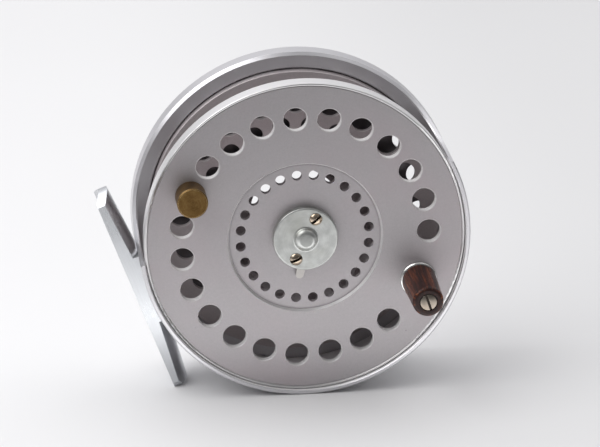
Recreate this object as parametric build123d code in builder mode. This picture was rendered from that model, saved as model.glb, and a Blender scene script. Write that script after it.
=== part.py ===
from build123d import *
import math
import os

# ----------------------------------------------------------------------------
# Fly reel, single action, exposed perforated drum in a half-cage frame.
# Millimetres. +Z up, drum axis along Y, drum face towards -Y, reel foot at -X.
# The origin is the bottom centre of the whole reel as it stands on the frame
# rim and the lower tip of the foot.
# Each piece is drawn from the point where the drum axis meets the drum face:
# r is the distance from the axis, d is the depth behind the drum face, and
# angles run from +X towards +Z.
# ----------------------------------------------------------------------------

# placing of the drum axis in the reel's own frame
AXIS_X = 6.0
AXIS_Y = -8.125
AXIS_Z = 50.8

# frame
FRAME_R = 50.8            # outside radius, a 4 in reel
FRAME_BORE_R = 49.4       # inside of the wall round the drum
FRAME_FRONT = -1.2        # depth of the wall's front edge
RING_D = 27.2             # depth of the rear ring's front ledge
RING_BORE_R = 45.75       # cup that takes the drum's rear flange
PLATE_D = 32.5            # inner face of the back plate
BACK_D = 34.5             # outer face of the back plate
WINDOW_A0 = 28.0          # line window, from this angle ...
WINDOW_A1 = 187.0         # ... over the top to this one
WINDOW_CORNER = 18.0      # radius of the window's front corners where it meets the wall
RING_CHAMFER = 0.95
VENT_N, VENT_PCR, VENT_R, VENT_PHASE = 20, 40.1, 3.55, 12.0
HUB_R = 6.5               # solid hub of the back plate
SPIDER_R = 14.0           # outer radius of the openings round the hub
SPIDER_SLOTS = ((24.0, 188.0), (212.0, 258.0), (282.0, 360.0))

# drum
DRUM_R = 49.2             # front flange, over the skirt
SKIRT_D = 5.6             # depth of the skirt
FLANGE_T = 2.3            # thickness of the front flange
LIP_R = 48.3              # inside of the raised lip
RECESS_R = 23.6           # recessed centre disc
RECESS_D = 1.1
RECESS_SLOPE = 0.3        # half width of the sloping edge of the recess
WEB_T = 2.0
ARBOR_R, ARBOR_BORE_R = 25.0, 22.5
REAR_D0, REAR_D1 = 25.0, 27.0   # rear flange
REAR_R = 45.4
REAR_EYE_R = 14.25        # open centre of the rear flange
HUB_TUBE_R = 5.2
HUB_END_D = 30.0
BIG_PITCH = 15.6         # angular pitch of the large face holes
BIG_A0 = 157.0            # the counterweight stands here, the handle opposite
BIG_PCR, BIG_R = 38.0, 3.6
SMALL_N, SMALL_PCR, SMALL_R, SMALL_A0 = 24, 19.83, 1.53, 142.15
REAR_OUT_PCR, REAR_OUT_R, REAR_OUT_A0 = 35.6, 3.6, 90.0
REAR_IN_PCR, REAR_IN_R, REAR_IN_A0 = 28.2, 2.75, 99.0
DRAIN_N, DRAIN_R, DRAIN_A0 = 16, 2.6, 278.0
DRAIN_ROWS = (8.6, 17.6)

# spindle and bush
SPINDLE_R = 3.0
BUSH_BORE_R = 3.05
BUSH_R = 4.2
GROOVE_R = 2.1
TIP_R = 2.6

# latch under the centre cover
COVER_R = 9.95
COVER_FRONT = -1.35
COVER_T = 0.85
COVER_WALL = 0.6
DOME_R = 3.8
DOME_H = 1.75
SCREW_PCR = 7.0
SCREW_A = (64.0, 245.0)
BOSS_R = 1.3
LATCH_D0, LATCH_D1 = -0.25, 0.65

# handle and counterweight
HANDLE_A = BIG_A0 + 180.0
WEIGHT_R, WEIGHT_H = 4.7, 7.5
GRIP_R0, GRIP_R1 = 5.3, 4.7
GRIP_FOOT, GRIP_TOP = -1.75, -20.8
FERRULE_R = 5.75

# check (click) mechanism behind the drum
TEETH = 36
RATCHET_TIP_R, RATCHET_ROOT_R = 19.5, 18.2
RATCHET_D0, RATCHET_D1 = 27.0, 28.6
PAWL_AT = (10.0, -21.6)
SPRING_POST = (-15.5, -25.4)
REG_AT = (-3.0, -29.9)

# foot
FOOT_A = 201.0            # direction of the foot from the axis
FOOT_SEAT = 55.15         # distance of the seat plane from the axis
FOOT_W = 14.0
FOOT_MID_D = 16.4         # depth of the foot's centreline
FOOT_TIP_UP = -33.5       # ends of the wings, on the centreline
FOOT_TIP_DN = 33.22
FOOT_BLOCK = 11.2
FOOT_CHANNEL_R = 11.0


# ----------------------------------------------------------------------------
# planes and placings
# ----------------------------------------------------------------------------
O = Vector(AXIS_X, AXIS_Y, AXIS_Z)
SPIN = Axis(O, (0, 1, 0))
# local x = radial, local y = depth
HALF = Plane(origin=O, x_dir=(1, 0, 0), z_dir=(0, 0, 1))


def face(d, x=0.0, z=0.0):
    """Plane parallel to the drum face at depth d, seen from the front."""
    return Plane(origin=O + Vector(x, d, z), x_dir=(1, 0, 0), z_dir=(0, -1, 0))


def back(d, x=0.0, z=0.0):
    """The same plane with its normal to the rear."""
    return Plane(origin=O + Vector(x, d, z), x_dir=(1, 0, 0), z_dir=(0, 1, 0))


def polar(r, a):
    return (r * math.cos(math.radians(a)), r * math.sin(math.radians(a)))


def half_at(x, z):
    """Radial half plane of a small round piece whose axis is at x, z."""
    return Plane(origin=O + Vector(x, 0, z), x_dir=(1, 0, 0), z_dir=(0, 0, 1))


def axis_at(x, z):
    return Axis(O + Vector(x, 0, z), (0, 1, 0))


HX, HZ = polar(BIG_PCR, HANDLE_A)
WX, WZ = polar(BIG_PCR, BIG_A0)
SCREWS = [polar(SCREW_PCR, a) for a in SCREW_A]

FN = Vector(math.cos(math.radians(FOOT_A)), 0, math.sin(math.radians(FOOT_A)))
FS = Vector(-FN.Z, 0, FN.X)      # along the foot, + is the lower wing


def foot_point(s, n, w=0.0):
    return O + FN * n + FS * s + Vector(0, FOOT_MID_D + w, 0)


# ----------------------------------------------------------------------------
# frame: back plate, rear ring and the wall round the lower half, one piece
# ----------------------------------------------------------------------------
FORWARD = Axis(O, (0, -1, 0))


def half_plane(a):
    """Radial half plane at angle a."""
    c, s = math.cos(math.radians(a)), math.sin(math.radians(a))
    return Plane(origin=O, x_dir=(c, 0, s), z_dir=(-s, 0, c))


def wall_plane(a):
    """Plane tangent to the wall at angle a; local x runs round it, local y to the front."""
    c, s = math.cos(math.radians(a)), math.sin(math.radians(a))
    return Plane(origin=O + Vector(43.0 * c, 0, 43.0 * s), x_dir=(-s, 0, c), z_dir=(c, 0, s))


# the corner's width round the wall, as an angle and as a length on its tangent plane
CORNER_A = math.degrees(WINDOW_CORNER / FRAME_R)
CORNER_X = FRAME_R * math.sin(math.radians(CORNER_A))

def on_window_edge(e):
    """True for the window's edges on the outside of the ring and of its two corners."""
    for u in (0.02, 0.5, 0.98):
        p = e.position_at(u) - O
        if abs(math.hypot(p.X, p.Z) - FRAME_R) > 0.02 or not RING_D - WINDOW_CORNER - 0.05 < p.Y < RING_D + 0.05:
            return False
    return True


with BuildPart() as frame:
    with BuildSketch(HALF):
        with BuildLine():
            Polyline(
                (0, PLATE_D), (RING_BORE_R, PLATE_D), (RING_BORE_R, RING_D + 0.4),
                (RING_BORE_R + 0.4, RING_D), (FRAME_BORE_R, RING_D),
                (FRAME_BORE_R, FRAME_FRONT + 0.3), (FRAME_BORE_R + 0.3, FRAME_FRONT),
                (FRAME_R - 0.35, FRAME_FRONT), (FRAME_R, FRAME_FRONT + 0.35),
                (FRAME_R, BACK_D - 1.0), (FRAME_R - 1.0, BACK_D), (0, BACK_D),
                close=True,
            )
        make_face()
    revolve(axis=SPIN)
    # line window over the top, down to the rear ring
    with BuildSketch(face(FRAME_FRONT - 1.0)):
        with BuildLine():
            p0 = polar(60, WINDOW_A0 + CORNER_A)
            p1 = polar(60, WINDOW_A1 - CORNER_A)
            Line((0, 0), p0)
            CenterArc((0, 0), 60, WINDOW_A0 + CORNER_A, WINDOW_A1 - WINDOW_A0 - 2 * CORNER_A)
            Line(p1, (0, 0))
        make_face()
    extrude(amount=-(RING_D - FRAME_FRONT + 1.0), mode=Mode.SUBTRACT)
    # its two ends, which sweep up in large round corners to the wall's front edge
    for a_end, sgn in ((WINDOW_A0, 1.0), (WINDOW_A1, -1.0)):
        with BuildSketch(wall_plane(a_end + sgn * CORNER_A)):
            with BuildLine():
                e = -sgn * CORNER_X
                m = e + sgn * WINDOW_CORNER
                q = WINDOW_CORNER * math.sqrt(0.5)
                Polyline((e, -FRAME_FRONT + 3.0), (e, -RING_D + WINDOW_CORNER))
                ThreePointArc((e, -RING_D + WINDOW_CORNER),
                              (m - sgn * q, -RING_D + WINDOW_CORNER - q), (m, -RING_D))
                Polyline((m, -RING_D), (sgn * 0.6, -RING_D), (sgn * 0.6, -FRAME_FRONT + 3.0),
                         (e, -FRAME_FRONT + 3.0))
            make_face()
        extrude(amount=12.0, mode=Mode.SUBTRACT)
    # chamfer along the window's outer edge, round the ring and up both corners
    chamfer(frame.edges().filter_by(on_window_edge), RING_CHAMFER)
    # ring of round vents in the back plate
    with BuildSketch(face(PLATE_D - 1.0)):
        with PolarLocations(VENT_PCR, VENT_N, start_angle=VENT_PHASE):
            Circle(VENT_R)
    extrude(amount=-(BACK_D - PLATE_D + 2.0), mode=Mode.SUBTRACT)
    # openings round the hub, leaving three spokes
    for a0, a1 in SPIDER_SLOTS:
        with BuildSketch(face(PLATE_D - 1.0)):
            with BuildLine():
                CenterArc((0, 0), HUB_R + 0.2, a0, a1 - a0)
                Line(polar(HUB_R + 0.2, a0), polar(SPIDER_R, a0))
                CenterArc((0, 0), SPIDER_R, a0, a1 - a0)
                Line(polar(SPIDER_R, a1), polar(HUB_R + 0.2, a1))
            make_face()
            fillet(vertices(), 1.2)
        extrude(amount=-(BACK_D - PLATE_D + 2.0), mode=Mode.SUBTRACT)
    # seats for the spindle, the pawl post, the spring post and the regulator
    with BuildSketch(face(PLATE_D - 1.0)):
        Circle(2.0)
        for a in (90.0, 210.0, 330.0):
            with Locations(polar(4.7, a)):
                Circle(0.6)
        with Locations(PAWL_AT, SPRING_POST):
            Circle(1.25)
        with Locations(REG_AT):
            Circle(1.8)
    extrude(amount=-(BACK_D - PLATE_D + 2.0), mode=Mode.SUBTRACT)
    # rivet holes for the foot
    with BuildSketch(Plane(origin=foot_point(0, 45.0), x_dir=FS, z_dir=FN)):
        with Locations((-7.2, 0), (7.2, 0), (0, -4.2), (0, 4.2)):
            Circle(1.2)
    extrude(amount=12.0, mode=Mode.SUBTRACT)
frame.part.label = "frame"

# ----------------------------------------------------------------------------
# spindle: fixed steel pin with its flange on the back plate, grooved at the tip
# ----------------------------------------------------------------------------
with BuildPart() as spindle:
    with BuildSketch(HALF):
        with BuildLine():
            Polyline(
                (0, -1.7), (TIP_R - 0.7, -1.7), (TIP_R, -1.05), (TIP_R, -0.4), (GROOVE_R, -0.35),
                (GROOVE_R, 0.75), (SPINDLE_R, 0.85), (SPINDLE_R, 30.3), (6.0, 30.3), (6.3, 30.6),
                (6.3, PLATE_D), (2.0, PLATE_D), (2.0, BACK_D), (2.9, BACK_D), (2.5, BACK_D + 0.6),
                (0, BACK_D + 0.6), close=True,
            )
        make_face()
    revolve(axis=SPIN)
    with BuildSketch(face(30.0)):
        with PolarLocations(4.7, 3, start_angle=90.0):
            Circle(0.6)
    extrude(amount=-3.0, mode=Mode.SUBTRACT)
spindle.part.label = "spindle"

with BuildPart() as spindle_rivets:
    for a in (90.0, 210.0, 330.0):
        x, z = polar(4.7, a)
        with BuildSketch(half_at(x, z)):
            with BuildLine():
                Polyline((0, 30.3), (0.6, 30.3), (0.6, BACK_D), (1.05, BACK_D), (0.8, BACK_D + 0.4),
                         (0, BACK_D + 0.4), close=True)
            make_face()
        revolve(axis=axis_at(x, z))
spindle_rivets.part.label = "spindle_rivets"

# ----------------------------------------------------------------------------
# reel foot: arched wings either side of a saddle that fits the frame wall
# ----------------------------------------------------------------------------
def wing_plane(s0, n0, s1, n1):
    """Plane across the foot at one end of a wing's crest line, normal along it."""
    d = (foot_point(s1, n1) - foot_point(s0, n0)).normalized()
    return Plane(origin=foot_point(s0, n0), x_dir=(0, 1, 0), z_dir=d)


with BuildPart() as reel_foot:
    for s0, n0, s1, n1, drop in ((0.0, 47.7, 38.0, 50.8, 3.0), (0.0, 48.0, -38.0, 50.85, 2.5)):
        pl = wing_plane(s0, n0, s1, n1)
        up = 1.0 if pl.y_dir.dot(FN) > 0 else -1.0
        with BuildSketch(pl):
            with BuildLine():
                ThreePointArc((-FOOT_W / 2, up * drop), (0, 0), (FOOT_W / 2, up * drop))
                Polyline((FOOT_W / 2, up * drop), (FOOT_W / 2, up * 9), (-FOOT_W / 2, up * 9),
                         (-FOOT_W / 2, up * drop))
            make_face()
        extrude(amount=(foot_point(s1, n1) - foot_point(s0, n0)).length)
    # saddle block
    with BuildSketch(Plane(origin=foot_point(0, 46.0), x_dir=FS, z_dir=FN)):
        Rectangle(2 * FOOT_BLOCK, FOOT_W)
    extrude(amount=10.0)
    # cut to the seat plane, the upper tip rounded and the lower one cut square
    with BuildSketch(Plane(origin=foot_point(0, 40.0), x_dir=FS, z_dir=FN)):
        with BuildLine():
            w = FOOT_W / 2
            Polyline((FOOT_TIP_UP + 3.0, w), (FOOT_TIP_DN - 1.5, w), (FOOT_TIP_DN, w - 1.0),
                     (FOOT_TIP_DN, -w + 1.0), (FOOT_TIP_DN - 1.5, -w), (FOOT_TIP_UP + 3.0, -w))
            ThreePointArc((FOOT_TIP_UP + 3.0, -w), (FOOT_TIP_UP, 0), (FOOT_TIP_UP + 3.0, w))
        make_face()
    extrude(amount=FOOT_SEAT - 40.0, mode=Mode.INTERSECT)
    # hollow of the seat, between the two flat lands
    pc = Plane(origin=foot_point(-50.0, FOOT_SEAT), x_dir=(0, 1, 0), z_dir=FS)
    cu = 1.0 if pc.y_dir.dot(FN) > 0 else -1.0
    half = 5.8
    rise = math.sqrt(FOOT_CHANNEL_R ** 2 - half ** 2)
    with BuildSketch(pc):
        with Locations((0, cu * rise)):
            Circle(FOOT_CHANNEL_R)
    extrude(amount=100.0, mode=Mode.SUBTRACT)
    # seat on the frame wall
    with BuildSketch(face(-5.0)):
        Circle(FRAME_R)
    extrude(amount=-60.0, mode=Mode.SUBTRACT)
    # countersunk rivet holes
    with BuildSketch(Plane(origin=foot_point(0, 45.0), x_dir=FS, z_dir=FN)):
        with Locations((-7.2, 0), (7.2, 0), (0, -4.2), (0, 4.2)):
            Circle(1.2)
    extrude(amount=12.0, mode=Mode.SUBTRACT)
reel_foot.part.label = "reel_foot"

with BuildPart() as foot_rivets:
    for s0, w0 in ((-7.2, 0), (7.2, 0), (0, -4.2), (0, 4.2)):
        top = 52.8 if w0 == 0 else 53.6
        with BuildSketch(Plane(origin=foot_point(s0, 49.6, w0), x_dir=FS, z_dir=FN)):
            Circle(1.19)
        extrude(amount=top - 49.6)
foot_rivets.part.label = "foot_rivets"

# ----------------------------------------------------------------------------
# drum face: perforated front flange with its rim, skirt and sloping inner edge
# ----------------------------------------------------------------------------
FACE_BORE_R = RECESS_R - RECESS_SLOPE

with BuildPart() as drum_face:
    with BuildSketch(HALF):
        with BuildLine():
            Polyline((FACE_BORE_R, FLANGE_T), (FACE_BORE_R, RECESS_D), (RECESS_R + RECESS_SLOPE, 0),
                     (LIP_R - 0.1, 0), (LIP_R, 0.2), (DRUM_R - 0.8, 0.2))
            ThreePointArc((DRUM_R - 0.8, 0.2), (DRUM_R - 0.4, -0.2), (DRUM_R, 0.2))
            Polyline((DRUM_R, 0.2), (DRUM_R, SKIRT_D - 0.3), (DRUM_R - 0.3, SKIRT_D), (DRUM_R - 1.5, SKIRT_D),
                     (DRUM_R - 1.5, FLANGE_T + 0.5), (DRUM_R - 2.0, FLANGE_T), (FACE_BORE_R, FLANGE_T))
        make_face()
    revolve(axis=SPIN)
    # large face holes, none at the counterweight or beside the handle
    with BuildSketch(face(-1.0)):
        for k in range(1, 11):
            with Locations(polar(BIG_PCR, BIG_A0 + k * BIG_PITCH), polar(BIG_PCR, BIG_A0 - k * BIG_PITCH)):
                Circle(BIG_R)
    extrude(amount=-(FLANGE_T + 1.5), mode=Mode.SUBTRACT)
    # holes for the counterweight's screw and the handle's spindle
    with BuildSketch(face(-1.0)):
        with Locations((WX, WZ)):
            Circle(1.02)
        with Locations((HX, HZ)):
            Circle(2.0)
    extrude(amount=-(FLANGE_T + 2.0), mode=Mode.SUBTRACT)
    # small countersink round the mouth of every large hole
    chamfer(drum_face.edges().filter_by(GeomType.CIRCLE)
            .filter_by(lambda e: abs(e.radius - BIG_R) < 0.01 and abs(e.center().Y - O.Y) < 0.01), 0.22)
drum_face.part.label = "drum_face"

# ----------------------------------------------------------------------------
# drum core: recessed centre disc, hollow arbor and hub tube
# ----------------------------------------------------------------------------
with BuildPart() as drum_core:
    with BuildSketch(HALF):
        with BuildLine():
            Polyline((BUSH_R, RECESS_D), (FACE_BORE_R, RECESS_D), (FACE_BORE_R, FLANGE_T), (ARBOR_R, FLANGE_T),
                     (ARBOR_R, REAR_D0), (ARBOR_BORE_R, REAR_D0), (ARBOR_BORE_R, RECESS_D + WEB_T),
                     (HUB_TUBE_R, RECESS_D + WEB_T), (HUB_TUBE_R, HUB_END_D), (BUSH_R, HUB_END_D), close=True)
        make_face()
    revolve(axis=SPIN)
    # ring of small holes in the recessed disc, and the two cover screw holes
    with BuildSketch(face(-1.0)):
        with PolarLocations(SMALL_PCR, SMALL_N, start_angle=SMALL_A0):
            Circle(SMALL_R)
        for p in SCREWS:
            with Locations(p):
                Circle(0.82)
    extrude(amount=-(RECESS_D + WEB_T + 1.2), mode=Mode.SUBTRACT)
    # drain holes through the arbor
    for d in DRAIN_ROWS:
        for k in range(DRAIN_N):
            a = DRAIN_A0 + k * 360.0 / DRAIN_N
            c, s = math.cos(math.radians(a)), math.sin(math.radians(a))
            with BuildSketch(Plane(origin=O + Vector(20 * c, d, 20 * s), x_dir=(0, 1, 0), z_dir=(c, 0, s))):
                Circle(DRAIN_R)
            extrude(amount=7.0, mode=Mode.SUBTRACT)
drum_core.part.label = "drum_core"

# ----------------------------------------------------------------------------
# drum rear flange, with two staggered rings of holes and an open centre
# ----------------------------------------------------------------------------
with BuildPart() as drum_rear_flange:
    with BuildSketch(HALF):
        with BuildLine():
            Polyline((REAR_EYE_R, REAR_D0), (REAR_R - 0.15, REAR_D0), (REAR_R, REAR_D0 + 0.15), (REAR_R, REAR_D1 + 1.2),
                     (REAR_R - 1.0, REAR_D1 + 1.2), (REAR_R - 1.0, REAR_D1), (REAR_EYE_R, REAR_D1), close=True)
        make_face()
    revolve(axis=SPIN)
    with BuildSketch(face(REAR_D0 - 1.0)):
        with PolarLocations(REAR_OUT_PCR, 20, start_angle=REAR_OUT_A0):
            Circle(REAR_OUT_R)
        with PolarLocations(REAR_IN_PCR, 20, start_angle=REAR_IN_A0):
            Circle(REAR_IN_R)
        with PolarLocations(16.3, 4, start_angle=45.0):
            Circle(0.82)
    extrude(amount=-(REAR_D1 - REAR_D0 + 2.0), mode=Mode.SUBTRACT)
drum_rear_flange.part.label = "drum_rear_flange"

with BuildPart() as drum_bush:
    with BuildSketch(HALF):
        with BuildLine():
            Polyline((BUSH_BORE_R, RECESS_D + 0.1), (BUSH_R, RECESS_D + 0.1), (BUSH_R, HUB_END_D),
                     (BUSH_BORE_R, HUB_END_D), close=True)
        make_face()
    revolve(axis=SPIN)
drum_bush.part.label = "drum_bush"

# ----------------------------------------------------------------------------
# ratchet wheel on the back of the drum, with its screws
# ----------------------------------------------------------------------------
with BuildPart() as ratchet_wheel:
    with BuildSketch(face(RATCHET_D1)):
        pts = []
        for i in range(TEETH):
            c = 360.0 / TEETH * (i + 0.5)
            pts += [polar(RATCHET_ROOT_R, c - 3.3), polar(RATCHET_TIP_R, c - 0.9),
                    polar(RATCHET_TIP_R, c + 0.9), polar(RATCHET_ROOT_R, c + 3.3)]
        with BuildLine():
            Polyline(*pts, close=True)
        make_face()
        Circle(REAR_EYE_R + 0.1, mode=Mode.SUBTRACT)
        with PolarLocations(16.3, 4, start_angle=45.0):
            Circle(0.82, mode=Mode.SUBTRACT)
    extrude(amount=RATCHET_D1 - RATCHET_D0)
ratchet_wheel.part.label = "ratchet_wheel"

with BuildPart() as ratchet_screws:
    for a in (45.0, 135.0, 225.0, 315.0):
        x, z = polar(16.3, a)
        with BuildSketch(half_at(x, z)):
            with BuildLine():
                Polyline((0, 25.2), (0.6, 25.2), (0.8, 25.4), (0.8, RATCHET_D1), (1.5, RATCHET_D1),
                         (1.5, RATCHET_D1 + 0.6), (1.2, RATCHET_D1 + 0.9), (0, RATCHET_D1 + 0.9), close=True)
            make_face()
        revolve(axis=axis_at(x, z))
        with BuildSketch(face(RATCHET_D1 + 1.0, x, z)):
            Rectangle(4.0, 0.4)
        extrude(amount=0.5, mode=Mode.SUBTRACT)
ratchet_screws.part.label = "ratchet_screws"

# ----------------------------------------------------------------------------
# check pawl, its post, the leaf spring and its post, and the regulator
# ----------------------------------------------------------------------------
with BuildPart() as check_pawl:
    with BuildSketch(face(28.5)):
        with BuildLine():
            Polyline((-0.3, -18.5), (0.3, -18.5), (0.8, -19.8), (1.2, -20.1), (8.8, -19.7),
                     (8.8, -23.4), (-1.2, -21.6), (-0.8, -19.8), close=True)
        make_face()
        with Locations(PAWL_AT):
            Circle(2.3)
            Circle(1.3, mode=Mode.SUBTRACT)
    extrude(amount=1.2)
check_pawl.part.label = "check_pawl"


def post_profile(rings):
    """Half profile of a post riveted through the back plate, from its free end."""
    return [(0, rings[0][1]), *rings, (1.25, PLATE_D), (1.25, BACK_D), (1.9, BACK_D),
            (1.5, BACK_D + 0.45), (0, BACK_D + 0.45)]


with BuildPart() as pawl_post:
    with BuildSketch(half_at(*PAWL_AT)):
        with BuildLine():
            Polyline(*post_profile([(1.05, 27.3), (1.25, 27.5), (1.25, 28.7), (2.0, 28.7), (2.0, PLATE_D)]),
                     close=True)
        make_face()
    revolve(axis=axis_at(*PAWL_AT))
pawl_post.part.label = "pawl_post"

with BuildPart() as spring_post:
    with BuildSketch(half_at(*SPRING_POST)):
        with BuildLine():
            Polyline(*post_profile([(1.9, 27.5), (1.9, 27.8), (1.25, 27.8), (1.25, 30.6), (2.0, 30.6),
                                    (2.0, PLATE_D)]), close=True)
        make_face()
    revolve(axis=axis_at(*SPRING_POST))
spring_post.part.label = "spring_post"


def ribbon(pts, t):
    """Outline of a strip of thickness t along a line of points."""
    a, b = [], []
    for i, (x, y) in enumerate(pts):
        x0, y0 = pts[max(i - 1, 0)]
        x1, y1 = pts[min(i + 1, len(pts) - 1)]
        length = math.hypot(x1 - x0, y1 - y0)
        nx, ny = -(y1 - y0) / length * t / 2, (x1 - x0) / length * t / 2
        a.append((x + nx, y + ny))
        b.append((x - nx, y - ny))
    return a + b[::-1]


with BuildPart() as check_spring:
    with BuildSketch(face(30.4)):
        with BuildLine():
            Polyline(*ribbon([(-14.4, -26.75), (-10, -26.9), (-6, -26.8), (-2, -26.45), (2, -25.85),
                              (5.5, -25.0), (8.3, -24.4), (10.2, -24.35)], 0.3), close=True)
        make_face()
        with Locations(SPRING_POST):
            Circle(1.65)
            Circle(1.28, mode=Mode.SUBTRACT)
    extrude(amount=2.4)
check_spring.part.label = "check_spring"

with BuildPart() as regulator_cam:
    with BuildSketch(face(32.2)):
        with Locations((REG_AT[0], REG_AT[1] - 0.5)):
            Circle(2.6)
        with Locations(REG_AT):
            Rectangle(1.6, 1.6, mode=Mode.SUBTRACT)
    extrude(amount=3.6)
regulator_cam.part.label = "regulator_cam"

with BuildPart() as regulator_knob:
    with BuildSketch(half_at(*REG_AT)):
        with BuildLine():
            Polyline((0, PLATE_D - 0.1), (1.75, PLATE_D - 0.1), (1.75, BACK_D + 0.1), (4.2, BACK_D + 0.1),
                     (4.2, BACK_D + 2.6), (3.8, BACK_D + 3.0), (0, BACK_D + 3.0), close=True)
        make_face()
    revolve(axis=axis_at(*REG_AT))
    # square that drives the cam
    with BuildSketch(face(PLATE_D - 0.1, *REG_AT)):
        Rectangle(1.56, 1.56)
    extrude(amount=3.7)
    # knurled edge and coin slot
    with BuildSketch(back(BACK_D + 3.2, *REG_AT)):
        with PolarLocations(4.45, 24):
            Circle(0.42)
        Rectangle(6.4, 1.0)
    extrude(amount=-1.2, mode=Mode.SUBTRACT)
    with BuildSketch(back(BACK_D + 3.2, *REG_AT)):
        with PolarLocations(4.45, 24):
            Circle(0.42)
    extrude(amount=-3.2, mode=Mode.SUBTRACT)
regulator_knob.part.label = "regulator_knob"

# ----------------------------------------------------------------------------
# latch: cover with its two screws, the swinging lever and its bow spring
# ----------------------------------------------------------------------------
with BuildPart() as latch_cover:
    with BuildSketch(HALF):
        with BuildLine():
            f = COVER_FRONT
            ThreePointArc((0, f - DOME_H), (0.8, f - DOME_H + 0.02), (1.6, f - DOME_H + 0.08))
            ThreePointArc((1.6, f - DOME_H + 0.08), (2.85, f - DOME_H + 0.52), (DOME_R - 0.3, f - 0.3))
            ThreePointArc((DOME_R - 0.3, f - 0.3), (DOME_R - 0.05, f - 0.08), (DOME_R + 0.35, f))
            Polyline((DOME_R + 0.35, f), (COVER_R - 0.45, f))
            ThreePointArc((COVER_R - 0.45, f), (COVER_R - 0.14, f + 0.13), (COVER_R, f + 0.45))
            Polyline((COVER_R, f + 0.45), (COVER_R, RECESS_D), (COVER_R - COVER_WALL, RECESS_D),
                     (COVER_R - COVER_WALL, f + COVER_T), (3.05, f + COVER_T), (2.7, f + 0.1), (2.1, f - 0.55),
                     (0, f - 0.85), (0, f - DOME_H))
        make_face()
    revolve(axis=SPIN)
    for p in SCREWS:
        with BuildSketch(face(RECESS_D)):
            with Locations(p):
                Circle(BOSS_R)
        extrude(amount=RECESS_D - COVER_FRONT - COVER_T)
    with BuildSketch(face(COVER_FRONT - 0.5)):
        for p in SCREWS:
            with Locations(p):
                Circle(0.82)
    extrude(amount=-4.0, mode=Mode.SUBTRACT)
    with BuildSketch(face(COVER_FRONT - 0.5)):
        for p in SCREWS:
            with Locations(p):
                Circle(1.95)
    extrude(amount=-(0.5 + 0.45), mode=Mode.SUBTRACT)
    # slot in the wall for the lever's tab
    with BuildSketch(face(RECESS_D + 0.01)):
        with BuildLine():
            CenterArc((0, 0), COVER_R - COVER_WALL - 0.3, 252.0, 38.0)
            Line(polar(COVER_R - COVER_WALL - 0.3, 252.0), polar(COVER_R + 0.3, 252.0))
            CenterArc((0, 0), COVER_R + 0.3, 252.0, 38.0)
            Line(polar(COVER_R + 0.3, 290.0), polar(COVER_R - COVER_WALL - 0.3, 290.0))
        make_face()
    extrude(amount=RECESS_D - COVER_FRONT - COVER_T - 0.1, mode=Mode.SUBTRACT)
latch_cover.part.label = "latch_cover"

with BuildPart() as latch_cover_screws:
    for (x, z), slot in zip(SCREWS, (40.0, 24.0)):
        with BuildSketch(half_at(x, z)):
            with BuildLine():
                f = COVER_FRONT
                ThreePointArc((0, f - 0.95), (1.0, f - 0.78), (1.9, f - 0.15))
                Polyline((1.9, f - 0.15), (1.9, f + 0.45), (0.8, f + 0.45), (0.8, 2.75), (0.6, 2.95),
                         (0, 2.95), (0, f - 0.95))
            make_face()
        revolve(axis=axis_at(x, z))
        with BuildSketch(face(COVER_FRONT - 1.0, x, z)):
            with Locations(Location((0, 0, 0), (0, 0, slot))):
                Rectangle(5.0, 0.85)
        extrude(amount=-1.0, mode=Mode.SUBTRACT)
latch_cover_screws.part.label = "latch_cover_screws"

with BuildPart() as latch_lever:
    with BuildSketch(face(LATCH_D1)):
        with BuildLine():
            Polyline((0.9, 5.0), (5.75, 5.6), (5.6, 0.5), (4.2, -4.2), (0.35, -8.4), (-0.55, -11.95))
            ThreePointArc((-0.55, -11.95), (-1.9, -12.95), (-2.9, -11.6))
            Polyline((-2.9, -11.6), (-2.42, -8.4), (-0.95, -7.2), (-0.95, -5.3), (0.2, -3.9), (1.3, -1.9),
                     (1.3, 1.9), (0.9, 5.0))
        make_face()
        with Locations(SCREWS[0]):
            Circle(2.2)
            Circle(1.37, mode=Mode.SUBTRACT)
        Circle(2.3, mode=Mode.SUBTRACT)
    extrude(amount=LATCH_D1 - LATCH_D0)
latch_lever.part.label = "latch_lever"

with BuildPart() as latch_spring:
    with BuildSketch(face(0.5)):
        with BuildLine():
            Polyline(*ribbon([(8.7, 2.9), (7.9, 1.6), (7.2, 0.2), (6.95, -1.0), (7.1, -2.4), (7.55, -3.8),
                              (8.0, -4.6)], 0.22), close=True)
        make_face()
    extrude(amount=0.8)
latch_spring.part.label = "latch_spring"

# ----------------------------------------------------------------------------
# handle: fixed spindle, ferrule and end screw, with the grip free to turn
# ----------------------------------------------------------------------------
with BuildPart() as handle_spindle:
    with BuildSketch(half_at(HX, HZ)):
        with BuildLine():
            Polyline((1.02, GRIP_TOP + 0.9), (1.8, GRIP_TOP + 0.9), (2.0, GRIP_TOP + 1.1), (2.0, FLANGE_T),
                     (3.2, FLANGE_T), (2.9, FLANGE_T + 0.7), (0, FLANGE_T + 0.7), (0, -14.0), (1.02, -14.0),
                     close=True)
        make_face()
    revolve(axis=axis_at(HX, HZ))
handle_spindle.part.label = "handle_spindle"

with BuildPart() as handle_ferrule:
    with BuildSketch(half_at(HX, HZ)):
        with BuildLine():
            Polyline((2.02, 0), (FERRULE_R, 0), (FERRULE_R, -1.0), (FERRULE_R - 0.25, -1.35),
                     (FERRULE_R - 0.7, -1.55), (2.02, -1.55), close=True)
        make_face()
    revolve(axis=axis_at(HX, HZ))
handle_ferrule.part.label = "handle_ferrule"

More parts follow.
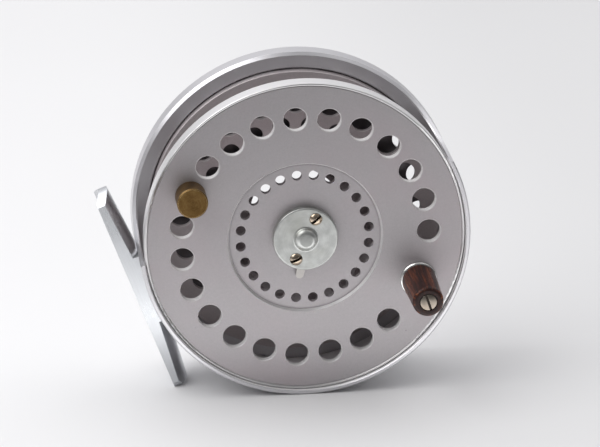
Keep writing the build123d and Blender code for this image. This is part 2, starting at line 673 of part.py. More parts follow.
with BuildPart() as handle_grip:
    with BuildSketch(half_at(HX, HZ)):
        with BuildLine():
            Polyline((2.08, GRIP_FOOT), (GRIP_R0 - 0.15, GRIP_FOOT), (GRIP_R0, GRIP_FOOT - 0.2))
            Spline((GRIP_R0, GRIP_FOOT - 0.2), (GRIP_R0 - 0.28, -10.0), (GRIP_R1 + 0.05, GRIP_TOP + 1.2))
            ThreePointArc((GRIP_R1 + 0.05, GRIP_TOP + 1.2), (GRIP_R1 - 0.35, GRIP_TOP + 0.3), (GRIP_R1 - 1.1, GRIP_TOP))
            Polyline((GRIP_R1 - 1.1, GRIP_TOP), (2.75, GRIP_TOP), (2.75, GRIP_TOP + 1.0), (2.08, GRIP_TOP + 1.0),
                     (2.08, GRIP_FOOT))
        make_face()
    revolve(axis=axis_at(HX, HZ))
handle_grip.part.label = "handle_grip"

with BuildPart() as handle_screw:
    with BuildSketch(half_at(HX, HZ)):
        with BuildLine():
            ThreePointArc((0, GRIP_TOP - 0.45), (1.3, GRIP_TOP - 0.36), (2.5, GRIP_TOP - 0.05))
            Polyline((2.5, GRIP_TOP - 0.05), (2.5, GRIP_TOP + 0.9), (1.0, GRIP_TOP + 0.9), (1.0, -14.3),
                     (0.8, -14.1), (0, -14.1), (0, GRIP_TOP - 0.45))
        make_face()
    revolve(axis=axis_at(HX, HZ))
    with BuildSketch(face(GRIP_TOP - 1.0, HX, HZ)):
        with Locations(Location((0, 0, 0), (0, 0, 108.0))):
            Rectangle(6.0, 0.75)
    extrude(amount=-1.35, mode=Mode.SUBTRACT)
handle_screw.part.label = "handle_screw"

# ----------------------------------------------------------------------------
# counterweight and its screw
# ----------------------------------------------------------------------------
with BuildPart() as counterweight:
    with BuildSketch(half_at(WX, WZ)):
        with BuildLine():
            Polyline((0, -WEIGHT_H), (WEIGHT_R - 0.35, -WEIGHT_H), (WEIGHT_R, -WEIGHT_H + 0.35), (WEIGHT_R, 0),
                     (1.02, 0), (1.02, -4.0), (0, -4.0), close=True)
        make_face()
    revolve(axis=axis_at(WX, WZ))
counterweight.part.label = "counterweight"

with BuildPart() as counterweight_screw:
    with BuildSketch(half_at(WX, WZ)):
        with BuildLine():
            Polyline((0, -3.8), (0.8, -3.8), (1.0, -3.6), (1.0, FLANGE_T), (2.2, FLANGE_T), (2.2, FLANGE_T + 0.6),
                     (1.8, FLANGE_T + 1.0), (0, FLANGE_T + 1.0), close=True)
        make_face()
    revolve(axis=axis_at(WX, WZ))
    with BuildSketch(face(FLANGE_T + 1.2, WX, WZ)):
        Rectangle(6.0, 0.5)
    extrude(amount=0.7, mode=Mode.SUBTRACT)
counterweight_screw.part.label = "counterweight_screw"

# ----------------------------------------------------------------------------
os.makedirs("parts", exist_ok=True)
for piece in (frame, spindle, spindle_rivets, reel_foot, foot_rivets, drum_face, drum_core,
              drum_rear_flange, drum_bush, ratchet_wheel, ratchet_screws, check_pawl, pawl_post, spring_post, check_spring, regulator_cam,
              regulator_knob, latch_cover, latch_cover_screws, latch_lever, latch_spring,
              handle_spindle, handle_ferrule, handle_grip, handle_screw, counterweight,
              counterweight_screw):
    export_step(piece.part, "parts/" + piece.part.label + ".step")
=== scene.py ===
import bpy
import math
from mathutils import Matrix, Vector


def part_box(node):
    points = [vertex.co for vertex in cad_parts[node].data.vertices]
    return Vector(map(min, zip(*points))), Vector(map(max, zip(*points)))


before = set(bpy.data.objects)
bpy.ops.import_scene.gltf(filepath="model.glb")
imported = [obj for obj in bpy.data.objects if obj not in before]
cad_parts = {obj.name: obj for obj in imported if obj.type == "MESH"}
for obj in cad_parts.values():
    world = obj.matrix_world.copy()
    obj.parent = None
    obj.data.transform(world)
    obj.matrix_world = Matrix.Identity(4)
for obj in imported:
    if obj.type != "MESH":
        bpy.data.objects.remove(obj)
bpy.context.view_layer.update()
MM = 0.001

# drum axis at the drum face, from the spindle and the drum themselves
s_lo, s_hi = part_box("spindle")
AX = (s_lo.x + s_hi.x) / 2
AZ = (s_lo.z + s_hi.z) / 2
d_lo, d_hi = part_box("drum_face")
AY = d_lo.y + 0.2 * MM
AXIS = Vector((AX, AY, AZ))
g_lo, g_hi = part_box("handle_grip")
GRIP = Vector(((g_lo.x + g_hi.x) / 2, g_lo.y, (g_lo.z + g_hi.z) / 2))
c_lo, c_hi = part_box("counterweight")
WEIGHT = Vector(((c_lo.x + c_hi.x) / 2, c_lo.y, (c_lo.z + c_hi.z) / 2))
FOOT_A = math.radians(201.0)
FN = Vector((math.cos(FOOT_A), 0, math.sin(FOOT_A)))
FS = Vector((-FN.z, 0, FN.x))


# ---------------------------------------------------------------- node helpers
class Tree:
    """A material's node tree, with short calls for the nodes used here."""

    def __init__(self, name):
        self.mat = bpy.data.materials.new(name)
        self.mat.use_nodes = True
        self.t = self.mat.node_tree
        self.t.nodes.clear()
        self.out = self.t.nodes.new("ShaderNodeOutputMaterial")
        self.b = self.t.nodes.new("ShaderNodeBsdfPrincipled")
        self.t.links.new(self.b.outputs["BSDF"], self.out.inputs["Surface"])

    def link(self, a, b):
        self.t.links.new(a, b)

    def put(self, socket, v):
        if isinstance(v, bpy.types.NodeSocket):
            self.t.links.new(v, socket)
        else:
            socket.default_value = v

    def obj(self):
        n = self.t.nodes.new("ShaderNodeTexCoord")
        return n.outputs["Object"]

    def vmath(self, op, a, b=(0, 0, 0), out="Vector"):
        n = self.t.nodes.new("ShaderNodeVectorMath")
        n.operation = op
        self.put(n.inputs[0], a)
        if op == "SCALE":
            self.put(n.inputs["Scale"], b)
        elif op not in ("LENGTH", "NORMALIZE"):
            self.put(n.inputs[1], b)
        return n.outputs[out]

    def math(self, op, a, b=0.0, c=0.0, clamp=False):
        n = self.t.nodes.new("ShaderNodeMath")
        n.operation = op
        n.use_clamp = clamp
        self.put(n.inputs[0], a)
        if len(n.inputs) > 1:
            self.put(n.inputs[1], b)
        if len(n.inputs) > 2:
            self.put(n.inputs[2], c)
        return n.outputs[0]

    def sep(self, v):
        n = self.t.nodes.new("ShaderNodeSeparateXYZ")
        self.put(n.inputs[0], v)
        return n.outputs[0], n.outputs[1], n.outputs[2]

    def comb(self, x, y, z):
        n = self.t.nodes.new("ShaderNodeCombineXYZ")
        self.put(n.inputs[0], x)
        self.put(n.inputs[1], y)
        self.put(n.inputs[2], z)
        return n.outputs[0]

    def noise(self, v, scale, detail=2.0, rough=0.5, distortion=0.0):
        n = self.t.nodes.new("ShaderNodeTexNoise")
        self.put(n.inputs["Vector"], v)
        self.put(n.inputs["Scale"], scale)
        n.inputs["Detail"].default_value = detail
        n.inputs["Roughness"].default_value = rough
        n.inputs["Distortion"].default_value = distortion
        return n.outputs["Fac"]

    def voronoi(self, v, scale, out="Distance"):
        n = self.t.nodes.new("ShaderNodeTexVoronoi")
        self.put(n.inputs["Vector"], v)
        self.put(n.inputs["Scale"], scale)
        return n.outputs[out]

    def remap(self, v, a, b, c, d, smooth=False):
        n = self.t.nodes.new("ShaderNodeMapRange")
        if smooth:
            n.interpolation_type = "SMOOTHSTEP"
        self.put(n.inputs["Value"], v)
        for k, x in zip(("From Min", "From Max", "To Min", "To Max"), (a, b, c, d)):
            n.inputs[k].default_value = x
        return n.outputs[0]

    def mix(self, fac, a, b, kind="MIX"):
        n = self.t.nodes.new("ShaderNodeMix")
        n.data_type = "RGBA"
        n.blend_type = kind
        self.put(n.inputs[0], fac)
        for s, v in ((n.inputs[6], a), (n.inputs[7], b)):
            if isinstance(v, bpy.types.NodeSocket):
                self.t.links.new(v, s)
            else:
                s.default_value = (*v, 1.0)
        return n.outputs[2]

    def ramp(self, fac, stops):
        n = self.t.nodes.new("ShaderNodeValToRGB")
        self.put(n.inputs[0], fac)
        e = n.color_ramp.elements
        while len(e) < len(stops):
            e.new(0.5)
        for k, (p, c) in zip(e, stops):
            k.position = p
            k.color = (*c, 1.0)
        return n.outputs[0]

    def bevel(self, r):
        n = self.t.nodes.new("ShaderNodeBevel")
        n.samples = 6
        n.inputs["Radius"].default_value = r
        return n.outputs[0]

    def edge(self, r, lo=0.0, hi=0.25):
        """1 on outer and inner edges within about r, 0 on flat places."""
        g = self.t.nodes.new("ShaderNodeNewGeometry")
        d = self.vmath("DOT_PRODUCT", self.bevel(r), g.outputs["Normal"], out="Value")
        return self.remap(self.math("SUBTRACT", 1.0, d), lo, hi, 0.0, 1.0)

    def bump(self, height, dist, strength=1.0, normal=None):
        n = self.t.nodes.new("ShaderNodeBump")
        n.inputs["Strength"].default_value = strength
        n.inputs["Distance"].default_value = dist
        self.put(n.inputs["Height"], height)
        if normal is not None:
            self.t.links.new(normal, n.inputs["Normal"])
        return n.outputs[0]

    def round_coords(self, centre):
        """(radius, depth, angle) about an axis along Y through centre, in metres and radians."""
        p = self.vmath("SUBTRACT", self.obj(), tuple(centre))
        x, y, z = self.sep(p)
        r = self.math("SQRT", self.math("ADD", self.math("MULTIPLY", x, x), self.math("MULTIPLY", z, z)))
        a = self.math("ARCTAN2", z, x)
        return r, y, a, x, z

    def finish(self, **k):
        for n, v in k.items():
            self.put(self.b.inputs[n.replace("_", " ")], v)
        return self.mat


def turned(name, base, rough, centre, line=9000.0, depth=0.000012, var=0.06, wear=0.5, round_r=0.00012,
           rough_var=0.04, tint=None, grain=0.35, metallic=1.0, scratch_amount=0.06, blot_scale=60.0,
           slot_floor=None, painted_back_shade=None, painted_wall_light=None, boss_shade_radius=None):
    """Lathe-turned metal: fine marks round an axis along Y, faint blotches and rubbed edges."""
    t = Tree(name)
    r, y, a, x, z = t.round_coords(centre)
    v = t.comb(t.math("MULTIPLY", r, line), t.math("MULTIPLY", y, line), t.math("MULTIPLY", a, 1.6))
    lines = t.noise(v, 1.0, 3.0, 0.6)
    blot = t.noise(t.obj(), blot_scale, 4.0, 0.55)
    fine = t.noise(t.obj(), 2600.0, 2.0, 0.6)
    e = t.edge(0.0002)
    k = t.math("ADD", t.remap(blot, 0.3, 0.7, -var, var), t.remap(lines, 0.2, 0.8, -0.5 * var, 0.5 * var))
    k = t.math("ADD", k, 1.0)
    c = t.vmath("SCALE", base, k)
    if tint:
        c = t.mix(t.remap(t.noise(t.obj(), 90.0, 3.0), 0.45, 0.7, 0.0, 0.6), c, tint)
    c = t.mix(t.math("MULTIPLY", e, wear), c, tuple(min(1.0, b * 1.5 + 0.08) for b in base))
    scratch = t.noise(t.vmath("MULTIPLY", t.obj(), (900.0, 900.0, 5200.0)), 1.0, 1.0)
    rg = t.math("ADD", t.remap(blot, 0.3, 0.7, rough - rough_var, rough + rough_var),
                t.remap(scratch, 0.62, 0.75, 0.0, scratch_amount))
    rg = t.math("SUBTRACT", rg, t.math("MULTIPLY", e, 0.1))
    if slot_floor is not None:
        # painted shade: near-black in the bottom of a screw's slot, where shade falls
        c = t.mix(t.remap(y, slot_floor, slot_floor + 0.00008, 0.0, 0.95), c, (0.016, 0.013, 0.011))
    if painted_back_shade is not None:
        # painted shade: the inner face of the back plate is darkened, out to the given radius between the two given
        # depths, where the interior lies in shadow
        g1 = t.remap(y, painted_back_shade[0], painted_back_shade[0] + 0.0003, 0.0, 1.0)
        g2 = t.remap(y, painted_back_shade[1], painted_back_shade[1] + 0.0004, 1.0, 0.0)
        g3 = t.remap(r, painted_back_shade[2] - 0.0004, painted_back_shade[2], 1.0, 0.0)
        c = t.mix(t.math("MULTIPLY", t.math("MULTIPLY", g1, g2), g3), c, (0.17, 0.16, 0.165))
    if painted_wall_light is not None:
        # painted light: within the given radius and before the given depth, the inside of the wall gets a lighter,
        # less metallic colour so the dim interior reads brighter; it is also rougher
        w = t.math("MULTIPLY", t.remap(r, painted_wall_light[0] - 0.0001, painted_wall_light[0], 1.0, 0.0),
                   t.remap(y, painted_wall_light[1] - 0.0001, painted_wall_light[1], 1.0, 0.0))
        c = t.mix(w, c, (0.86, 0.845, 0.85))
        metallic = t.remap(w, 0.0, 1.0, metallic, 0.25)
        rg = t.math("ADD", rg, t.math("MULTIPLY", w, 0.25))
    if boss_shade_radius is not None:
        # painted shade: the middle of the raised boss is darkened to damp the highlight on its round top, and made
        # rougher than the plate round it
        w = t.remap(r, boss_shade_radius - 0.0003, boss_shade_radius, 1.0, 0.0, smooth=True)
        c = t.mix(t.math("MULTIPLY", w, 0.5), c, tuple(b * 0.45 for b in base))
        rg = t.math("ADD", rg, t.math("MULTIPLY", w, 0.12))
    h = t.math("ADD", lines, t.math("MULTIPLY", fine, grain))
    n = t.bump(h, depth, 0.6, t.bevel(round_r))
    return t.finish(Base_Color=c, Metallic=metallic, Roughness=rg, Normal=n)


def blasted(name, base, rough, centre, metallic=0.5):
    """Fine matt-finished aluminium with slight cloudiness and rubs, its outer rim turned bright."""
    t = Tree(name)
    r, y, a, x, z = t.round_coords(centre)
    o = t.obj()
    grain = t.noise(o, 3600.0, 3.0, 0.65)
    grain2 = t.noise(o, 1500.0, 2.0, 0.6)
    cloud = t.noise(o, 30.0, 4.0, 0.55, 0.3)
    pink = t.noise(t.vmath("ADD", o, (0.3, 0.1, 0.7)), 40.0, 3.0, 0.6)
    e = t.edge(0.0002)
    e = t.math("MULTIPLY", e, t.remap(t.math("ABSOLUTE", t.math("SUBTRACT", r, 0.0236)), 0.0005, 0.0009, 0.15, 1.0))
    k = t.math("ADD", t.remap(cloud, 0.3, 0.7, -0.03, 0.03), t.remap(grain, 0.25, 0.75, -0.07, 0.07))
    k = t.math("ADD", k, t.remap(grain2, 0.3, 0.7, -0.03, 0.03))
    c = t.vmath("SCALE", base, t.math("ADD", k, 1.0))
    c = t.mix(t.remap(pink, 0.45, 0.7, 0.0, 0.45), c, (base[0] * 1.05, base[1] * 0.96, base[2] * 0.985))
    # a rubbed ring where fingers brake the rim
    rub = t.remap(t.noise(t.comb(t.math("MULTIPLY", a, 3.0), t.math("MULTIPLY", r, 600.0), 0.0), 1.0, 3.0), 0.45, 0.75, 0.0, 1.0)
    c = t.mix(t.math("MULTIPLY", rub, 0.06), c, tuple(b * 1.3 for b in base))
    # a few small dark specks of dirt
    vor = t.voronoi(o, 105.0)
    speck = t.remap(vor, 0.014, 0.03, 1.0, 0.0)
    c = t.mix(t.math("MULTIPLY", speck, 0.55), c, (0.12, 0.11, 0.11))
    c = t.mix(t.math("MULTIPLY", e, 0.45), c, tuple(min(1.0, b * 1.5 + 0.05) for b in base))
    rg = t.math("ADD", t.remap(cloud, 0.3, 0.7, rough - 0.03, rough + 0.03), t.remap(grain, 0.3, 0.7, -0.04, 0.04))
    rg = t.math("SUBTRACT", rg, t.math("MULTIPLY", e, 0.15))
    # painted light: faces deeper than the front plate get a lighter colour so the dim interior reads brighter
    inner = t.remap(y, 0.0017, 0.0021, 0.0, 1.0)
    c = t.mix(inner, c, t.vmath("SCALE", (0.545, 0.500, 0.508), t.math("ADD", k, 1.0)))
    # bright turned rim and skirt
    rim = t.remap(r, 0.04825, 0.04840, 0.0, 1.0)
    lines = t.noise(t.comb(t.math("MULTIPLY", r, 8000.0), t.math("MULTIPLY", y, 8000.0), t.math("MULTIPLY", a, 1.6)), 1.0, 3.0, 0.6)
    bright = t.vmath("SCALE", (0.80, 0.79, 0.79), t.math("MULTIPLY", t.remap(lines, 0.2, 0.8, 0.95, 1.05), t.remap(y, 0.0002, 0.0006, 0.86, 1.03)))
    c = t.mix(rim, c, bright)
    rg = t.math("ADD", t.math("MULTIPLY", rg, t.math("SUBTRACT", 1.0, rim)), t.math("MULTIPLY", rim, 0.36))
    me = t.remap(rim, 0.0, 1.0, metallic, 1.0)
    # turned cut on the sloping edge of the recess
    s1 = t.remap(r, 0.02333, 0.02338, 0.0, 1.0)
    s2 = t.remap(r, 0.02388, 0.02394, 1.0, 0.0)
    s3 = t.remap(y, 0.00114, 0.00120, 1.0, 0.0)
    gn = t.t.nodes.new("ShaderNodeNewGeometry")
    gny = t.math("ABSOLUTE", t.sep(gn.outputs["True Normal"])[1])
    cut = t.math("MULTIPLY", t.math("MULTIPLY", s1, s2), s3)
    cut = t.math("MULTIPLY", cut, t.remap(gny, 0.6, 0.9, 1.0, 0.0))
    # painted shadow: a dark band on the recess floor at the foot of the sloping edge, standing in for the shadow
    # the lip casts
    recess_foot_shade = t.math("MULTIPLY", t.remap(r, 0.02265, 0.02320, 0.0, 0.42), t.remap(r, 0.02334, 0.02338, 1.0, 0.0))
    recess_foot_shade = t.math("MULTIPLY", recess_foot_shade, t.math("MULTIPLY", s3, t.remap(gny, 0.6, 0.9, 0.0, 1.0)))
    c = t.mix(recess_foot_shade, c, (0.16, 0.15, 0.155))
    c = t.mix(cut, c, (0.82, 0.81, 0.81))
    me = t.math("ADD", t.math("MULTIPLY", me, t.math("SUBTRACT", 1.0, cut)), cut)
    rg = t.math("ADD", rg, t.math("MULTIPLY", cut, 0.02))
    # clean drilled walls of the large holes
    wall = t.math("MULTIPLY", t.remap(r, 0.0330, 0.0331, 0.0, 1.0), t.remap(r, 0.0474, 0.0475, 1.0, 0.0))
    wall = t.math("MULTIPLY", wall, t.remap(y, 0.0023, 0.0024, 1.0, 0.0))
    wall = t.math("MULTIPLY", wall, t.remap(gny, 0.5, 0.9, 1.0, 0.0))
    c = t.mix(wall, c, (0.77, 0.755, 0.75))
    me = t.math("MULTIPLY", me, t.remap(wall, 0.0, 1.0, 1.0, 0.3))
    h = t.math("ADD", grain, t.math("MULTIPLY", grain2, 0.7))
    h = t.math("MULTIPLY", h, t.remap(rim, 0.0, 1.0, 1.0, 0.15))
    # edges look slightly rounded, except the sharp lip of the recess
    gnn = gn.outputs["Normal"]
    lip = t.remap(t.math("ABSOLUTE", t.math("SUBTRACT", r, 0.0236)), 0.0004, 0.0007, 0.0, 1.0)
    bn = t.vmath("ADD", gnn, t.vmath("SCALE", t.vmath("SUBTRACT", t.bevel(0.00014), gnn), lip))
    n = t.bump(h, 0.00002, 0.5, t.vmath("NORMALIZE", bn))
    return t.finish(Base_Color=c, Metallic=me, Roughness=rg, Normal=n)


def brushed_along(name, base, rough, direction, across=(0, 1, 0), depth=0.000012):
    """Metal polished lengthways: fine straight marks along a direction."""
    t = Tree(name)
    o = t.obj()
    d = Vector(direction).normalized()
    w = Vector(across).normalized()
    m = d.cross(w).normalized()
    s = t.vmath("DOT_PRODUCT", o, tuple(d), out="Value")
    u = t.vmath("DOT_PRODUCT", o, tuple(w), out="Value")
    q = t.vmath("DOT_PRODUCT", o, tuple(m), out="Value")
    v = t.comb(t.math("MULTIPLY", s, 120.0), t.math("MULTIPLY", u, 6500.0), t.math("MULTIPLY", q, 6500.0))
    lines = t.noise(v, 1.0, 3.0, 0.65)
    blot = t.noise(o, 70.0, 4.0, 0.6)
    e = t.edge(0.00025)
    k = t.math("ADD", t.remap(blot, 0.3, 0.7, -0.05, 0.05), t.remap(lines, 0.2, 0.8, -0.07, 0.07))
    c = t.vmath("SCALE", base, t.math("ADD", k, 1.0))
    c = t.mix(t.math("MULTIPLY", e, 0.5), c, tuple(min(1.0, b * 1.3 + 0.06) for b in base))
    rg = t.math("ADD", t.remap(blot, 0.3, 0.7, rough - 0.06, rough + 0.06), t.remap(lines, 0.3, 0.7, -0.03, 0.05))
    n = t.bump(lines, depth, 0.6, t.bevel(0.00015))
    return t.finish(Base_Color=c, Metallic=1.0, Roughness=rg, Normal=n)


def aged_brass(name, centre):
    t = Tree(name)
    o = t.obj()
    r, y, a, x, z = t.round_coords(centre)
    rings = t.noise(t.comb(t.math("MULTIPLY", r, 5200.0), t.math("MULTIPLY", y, 5200.0), t.math("MULTIPLY", a, 1.2)), 1.0, 3.0, 0.6)
    patch = t.noise(o, 260.0, 5.0, 0.65, 0.3)
    stain = t.noise(t.vmath("ADD", o, (0.2, 0.5, 0.1)), 700.0, 3.0, 0.6)
    e = t.edge(0.00028, 0.01, 0.2)
    c = t.ramp(patch, [(0.25, (0.100, 0.054, 0.018)), (0.5, (0.165, 0.096, 0.034)), (0.75, (0.260, 0.165, 0.066))])
    c = t.mix(t.remap(stain, 0.55, 0.75, 0.0, 0.5), c, (0.13, 0.075, 0.028))
    c = t.mix(t.remap(rings, 0.5, 0.75, 0.0, 0.25), c, (0.42, 0.29, 0.13))
    c = t.mix(t.math("MULTIPLY", e, 0.85), c, (0.85, 0.68, 0.38))
    rg = t.math("ADD", t.remap(patch, 0.3, 0.7, 0.36, 0.52), t.math("MULTIPLY", e, -0.15))
    h = t.math("ADD", rings, t.math("MULTIPLY", stain, 0.6))
    n = t.bump(h, 0.000018, 0.6, t.bevel(0.00018))
    return t.finish(Base_Color=c, Metallic=1.0, Roughness=rg, Normal=n)


def rosewood(name, centre):
    t = Tree(name)
    p = t.vmath("SUBTRACT", t.obj(), tuple(centre))
    x, y, z = t.sep(p)
    # grain runs along the handle
    g = t.comb(t.math("MULTIPLY", x, 1150.0), t.math("MULTIPLY", y, 36.0), t.math("MULTIPLY", z, 1150.0))
    streak = t.noise(g, 1.0, 4.0, 0.6, 0.7)
    fine = t.noise(t.comb(t.math("MULTIPLY", x, 2600.0), t.math("MULTIPLY", y, 130.0), t.math("MULTIPLY", z, 2600.0)), 1.0, 3.0, 0.6)
    pore = t.noise(t.comb(t.math("MULTIPLY", x, 5200.0), t.math("MULTIPLY", y, 420.0), t.math("MULTIPLY", z, 5200.0)), 1.0, 1.0, 0.5)
    c = t.ramp(streak, [(0.38, (0.010, 0.003, 0.003)), (0.48, (0.030, 0.008, 0.005)), (0.55, (0.080, 0.020, 0.009)),
                        (0.62, (0.190, 0.050, 0.016)), (0.74, (0.340, 0.112, 0.034))])
    c = t.mix(t.remap(fine, 0.42, 0.62, 0.0, 0.55), c, (0.030, 0.009, 0.007))
    pm = t.remap(pore, 0.63, 0.70, 0.0, 1.0)
    c = t.mix(t.math("MULTIPLY", pm, 0.8), c, (0.010, 0.004, 0.004))
    # the turned end is end grain, darker
    gy = t.t.nodes.new("ShaderNodeNewGeometry")
    ny = t.sep(gy.outputs["True Normal"])[1]
    endg = t.remap(t.math("ABSOLUTE", ny), 0.75, 0.95, 0.0, 1.0)
    c = t.mix(t.math("MULTIPLY", endg, 0.85), c, (0.018, 0.008, 0.007))
    rg = t.math("ADD", t.remap(fine, 0.3, 0.7, 0.30, 0.44), t.math("MULTIPLY", pm, 0.2))
    h = t.math("SUBTRACT", t.math("MULTIPLY", fine, 0.5), pm)
    n = t.bump(h, 0.00004, 0.7, t.bevel(0.0003))
    return t.finish(Base_Color=c, Metallic=0.0, Roughness=rg, Normal=n, Specular_IOR_Level=0.25, Coat_Weight=0.04, Coat_Roughness=0.2)


M = {}
M["drum"] = blasted("drum_blasted", (0.425, 0.402, 0.412), 0.52, AXIS, metallic=0.6)
M["frame"] = turned("frame_turned", (0.62, 0.612, 0.63), 0.33, AXIS, line=7000.0, var=0.025, rough_var=0.015, metallic=0.86,
                    painted_back_shade=(0.0278, 0.0336, 0.0458), painted_wall_light=(0.0495, 0.0271))
M["foot"] = brushed_along("foot_brushed", (0.59, 0.604, 0.622), 0.30, FS)
M["cover"] = turned("cover_turned", (0.515, 0.525, 0.51), 0.36, AXIS, line=4200.0, var=0.16, rough_var=0.07, scratch_amount=0.16, metallic=0.9,
                    blot_scale=330.0, tint=(0.40, 0.405, 0.37), boss_shade_radius=0.0021)
M["steel"] = turned("turned_steel", (0.52, 0.51, 0.49), 0.30, AXIS, line=6500.0)
M["lever"] = turned("lever_steel", (0.47, 0.45, 0.43), 0.42, AXIS, line=2500.0, var=0.1)
M["spring"] = brushed_along("blued_spring", (0.20, 0.215, 0.26), 0.28, (1, 0, 0))
M["bronze"] = turned("oiled_bronze", (0.50, 0.34, 0.17), 0.34, AXIS, line=6500.0, var=0.12)
M["knob"] = turned("knob_brass", (0.56, 0.42, 0.22), 0.32, AXIS, line=6500.0, var=0.12)
M["nickel"] = turned("warm_nickel", (0.66, 0.56, 0.45), 0.16, AXIS, line=6500.0, var=0.15, tint=(0.30, 0.19, 0.11))
M["coverscrew"] = turned("cover_screw_nickel", (0.56, 0.47, 0.37), 0.20, AXIS, line=6500.0, var=0.18,
                         tint=(0.26, 0.17, 0.10), slot_floor=-0.00148)
M["endscrew"] = turned("end_screw_nickel", (0.33, 0.295, 0.25), 0.30, GRIP, line=6500.0, var=0.16, tint=(0.24, 0.19, 0.15),
                       slot_floor=0.00012)
M["ferrule"] = turned("ferrule_polished", (0.76, 0.76, 0.74), 0.18, GRIP, line=6500.0, var=0.04)
M["brass"] = aged_brass("aged_brass", WEIGHT)
M["wood"] = rosewood("rosewood", GRIP)

ASSIGN = {
    "frame": "frame", "spindle": "steel", "spindle_rivets": "steel", "reel_foot": "foot", "foot_rivets": "foot",
    "drum_face": "drum", "drum_core": "drum", "drum_rear_flange": "drum", "drum_bush": "bronze", "ratchet_wheel": "steel", "ratchet_screws": "steel",
    "check_pawl": "bronze", "pawl_post": "steel", "spring_post": "steel", "check_spring": "spring",
    "regulator_cam": "bronze", "regulator_knob": "knob", "latch_cover": "cover", "latch_cover_screws": "coverscrew",
    "latch_lever": "lever", "latch_spring": "spring", "handle_spindle": "steel", "handle_ferrule": "ferrule",
    "handle_grip": "wood", "handle_screw": "endscrew", "counterweight": "brass", "counterweight_screw": "nickel",
}
for node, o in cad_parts.items():
    m = M[ASSIGN.get(node, "steel")]
    if not o.material_slots:
        o.data.materials.append(m)
    for s in o.material_slots:
        s.material = m

# ---------------------------------------------------------------- floor
t = Tree("floor_paper")
o = t.obj()
n1 = t.noise(o, 900.0, 3.0, 0.6)
n2 = t.noise(o, 3.0, 2.0, 0.5)
c = t.mix(t.remap(n2, 0.3, 0.7, 0.0, 1.0), (0.808, 0.805, 0.811), (0.828, 0.825, 0.829))
# painted shade: the floor is darkened to the right and to the front, standing in for light falling off
fx, fy, fz = t.sep(o)
floor_shade_x = t.remap(fx, -0.04, 0.14, 1.0, 0.86, smooth=True)
gy = t.remap(fy, -0.42, -0.06, 0.42, 1.0, smooth=True)
c = t.vmath("SCALE", c, t.math("MULTIPLY", floor_shade_x, gy))
floor_mat = t.finish(Base_Color=c, Metallic=0.0, Roughness=0.62, Normal=t.bump(n1, 0.00005, 0.15))
bpy.ops.mesh.primitive_plane_add(size=8.0, location=(0, 0, 0))
floor = bpy.context.object
floor.name = "floor"
floor.data.materials.append(floor_mat)

# ---------------------------------------------------------------- light
world = bpy.data.worlds.new("studio")
bpy.context.scene.world = world
world.use_nodes = True
wt = world.node_tree
bg = wt.nodes.get("Background") or wt.nodes.new("ShaderNodeBackground")
wc = wt.nodes.new("ShaderNodeTexCoord")
wsep = wt.nodes.new("ShaderNodeSeparateXYZ")
wt.links.new(wc.outputs["Generated"], wsep.inputs[0])
wr = wt.nodes.new("ShaderNodeMapRange")
wt.links.new(wsep.outputs[2], wr.inputs["Value"])
for wk, wx in zip(("From Min", "From Max", "To Min", "To Max"), (-0.35, 0.9, 0.0, 1.0)):
    wr.inputs[wk].default_value = wx
wramp = wt.nodes.new("ShaderNodeValToRGB")
wt.links.new(wr.outputs[0], wramp.inputs[0])
we = wramp.color_ramp.elements
we[0].position, we[0].color = 0.0, (0.20, 0.195, 0.20, 1)
we[1].position, we[1].color = 1.0, (0.98, 0.98, 1.0, 1)
wm = we.new(0.28)
wm.color = (0.42, 0.415, 0.43, 1)
wm = we.new(0.55)
wm.color = (0.80, 0.80, 0.82, 1)
wt.links.new(wramp.outputs[0], bg.inputs["Color"])
wy = wt.nodes.new("ShaderNodeMapRange")
wt.links.new(wsep.outputs[1], wy.inputs["Value"])
for wk, wx in zip(("From Min", "From Max", "To Min", "To Max"), (-0.7, 0.8, 0.18, 0.98)):
    wy.inputs[wk].default_value = wx
wx_ = wt.nodes.new("ShaderNodeMapRange")
wt.links.new(wsep.outputs[0], wx_.inputs["Value"])
for wk, wx in zip(("From Min", "From Max", "To Min", "To Max"), (-0.9, 0.3, 1.42, 1.00)):
    wx_.inputs[wk].default_value = wx
wmul = wt.nodes.new("ShaderNodeMath")
wmul.operation = "MULTIPLY"
wt.links.new(wy.outputs[0], wmul.inputs[0])
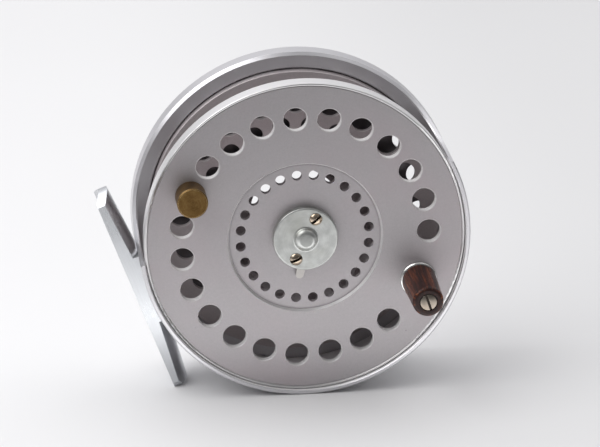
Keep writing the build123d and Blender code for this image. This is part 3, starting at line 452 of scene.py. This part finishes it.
wt.links.new(wx_.outputs[0], wmul.inputs[1])
wt.links.new(wmul.outputs[0], bg.inputs["Strength"])


def area(name, loc, target, size, energy, color=(1, 1, 1), size_y=None):
    l = bpy.data.lights.new(name, "AREA")
    l.energy = energy
    l.color = color
    l.shape = "RECTANGLE" if size_y else "SQUARE"
    l.size = size
    if size_y:
        l.size_y = size_y
    ob = bpy.data.objects.new(name, l)
    bpy.context.scene.collection.objects.link(ob)
    ob.location = loc
    ob.rotation_euler = (Vector(target) - Vector(loc)).to_track_quat("-Z", "Y").to_euler()
    ob.visible_camera = False
    return ob


area("key", (-0.70, -0.26, 0.92), (0, 0, 0.05), 0.95, 7.0)
area("top", (-0.38, 0.40, 1.06), (-0.10, 0.16, 0.0), 1.00, 3.0)
area("fill", (0.60, 0.32, 0.90), (0.03, 0.05, 0.0), 0.95, 2.2)
# two small low panels in front, facing straight up, so they light the drum's face and not the floor
for low in (area("bounce_right", (0.085, -0.15, 0.002), (0.085, -0.15, 1.0), 0.09, 0.028, size_y=0.12),
            area("bounce", (0.025, -0.058, 0.002), (0.025, -0.058, 1.0), 0.20, 0.042, size_y=0.05)):
    low.rotation_euler = (math.pi, 0.0, 0.0)

# ---------------------------------------------------------------- camera
az, el = math.radians(-6.842), math.radians(19.216)
B = Vector((math.sin(az) * math.cos(el), -math.cos(az) * math.cos(el), math.sin(el)))
R = Vector((math.cos(az), math.sin(az), 0.0))
U = B.cross(R)
target = AXIS + Vector((-0.0431, 0.0, 0.1236)) * 38.0 * MM
cam_data = bpy.data.cameras.new("camera")
cam = bpy.data.objects.new("camera", cam_data)
bpy.context.scene.collection.objects.link(cam)
cam.location = target + B * (31.0 * 38.0 * MM)
cam.rotation_euler = Matrix((R, U, B)).transposed().to_euler()
cam_data.sensor_width = 36.0
cam_data.lens = 3873.5 / 600.0 * 36.0
cam_data.clip_start = 0.01
cam_data.clip_end = 50.0
bpy.context.scene.camera = cam
bpy.context.scene.view_settings.view_transform = "Standard"
bpy.context.scene.view_settings.look = "None"
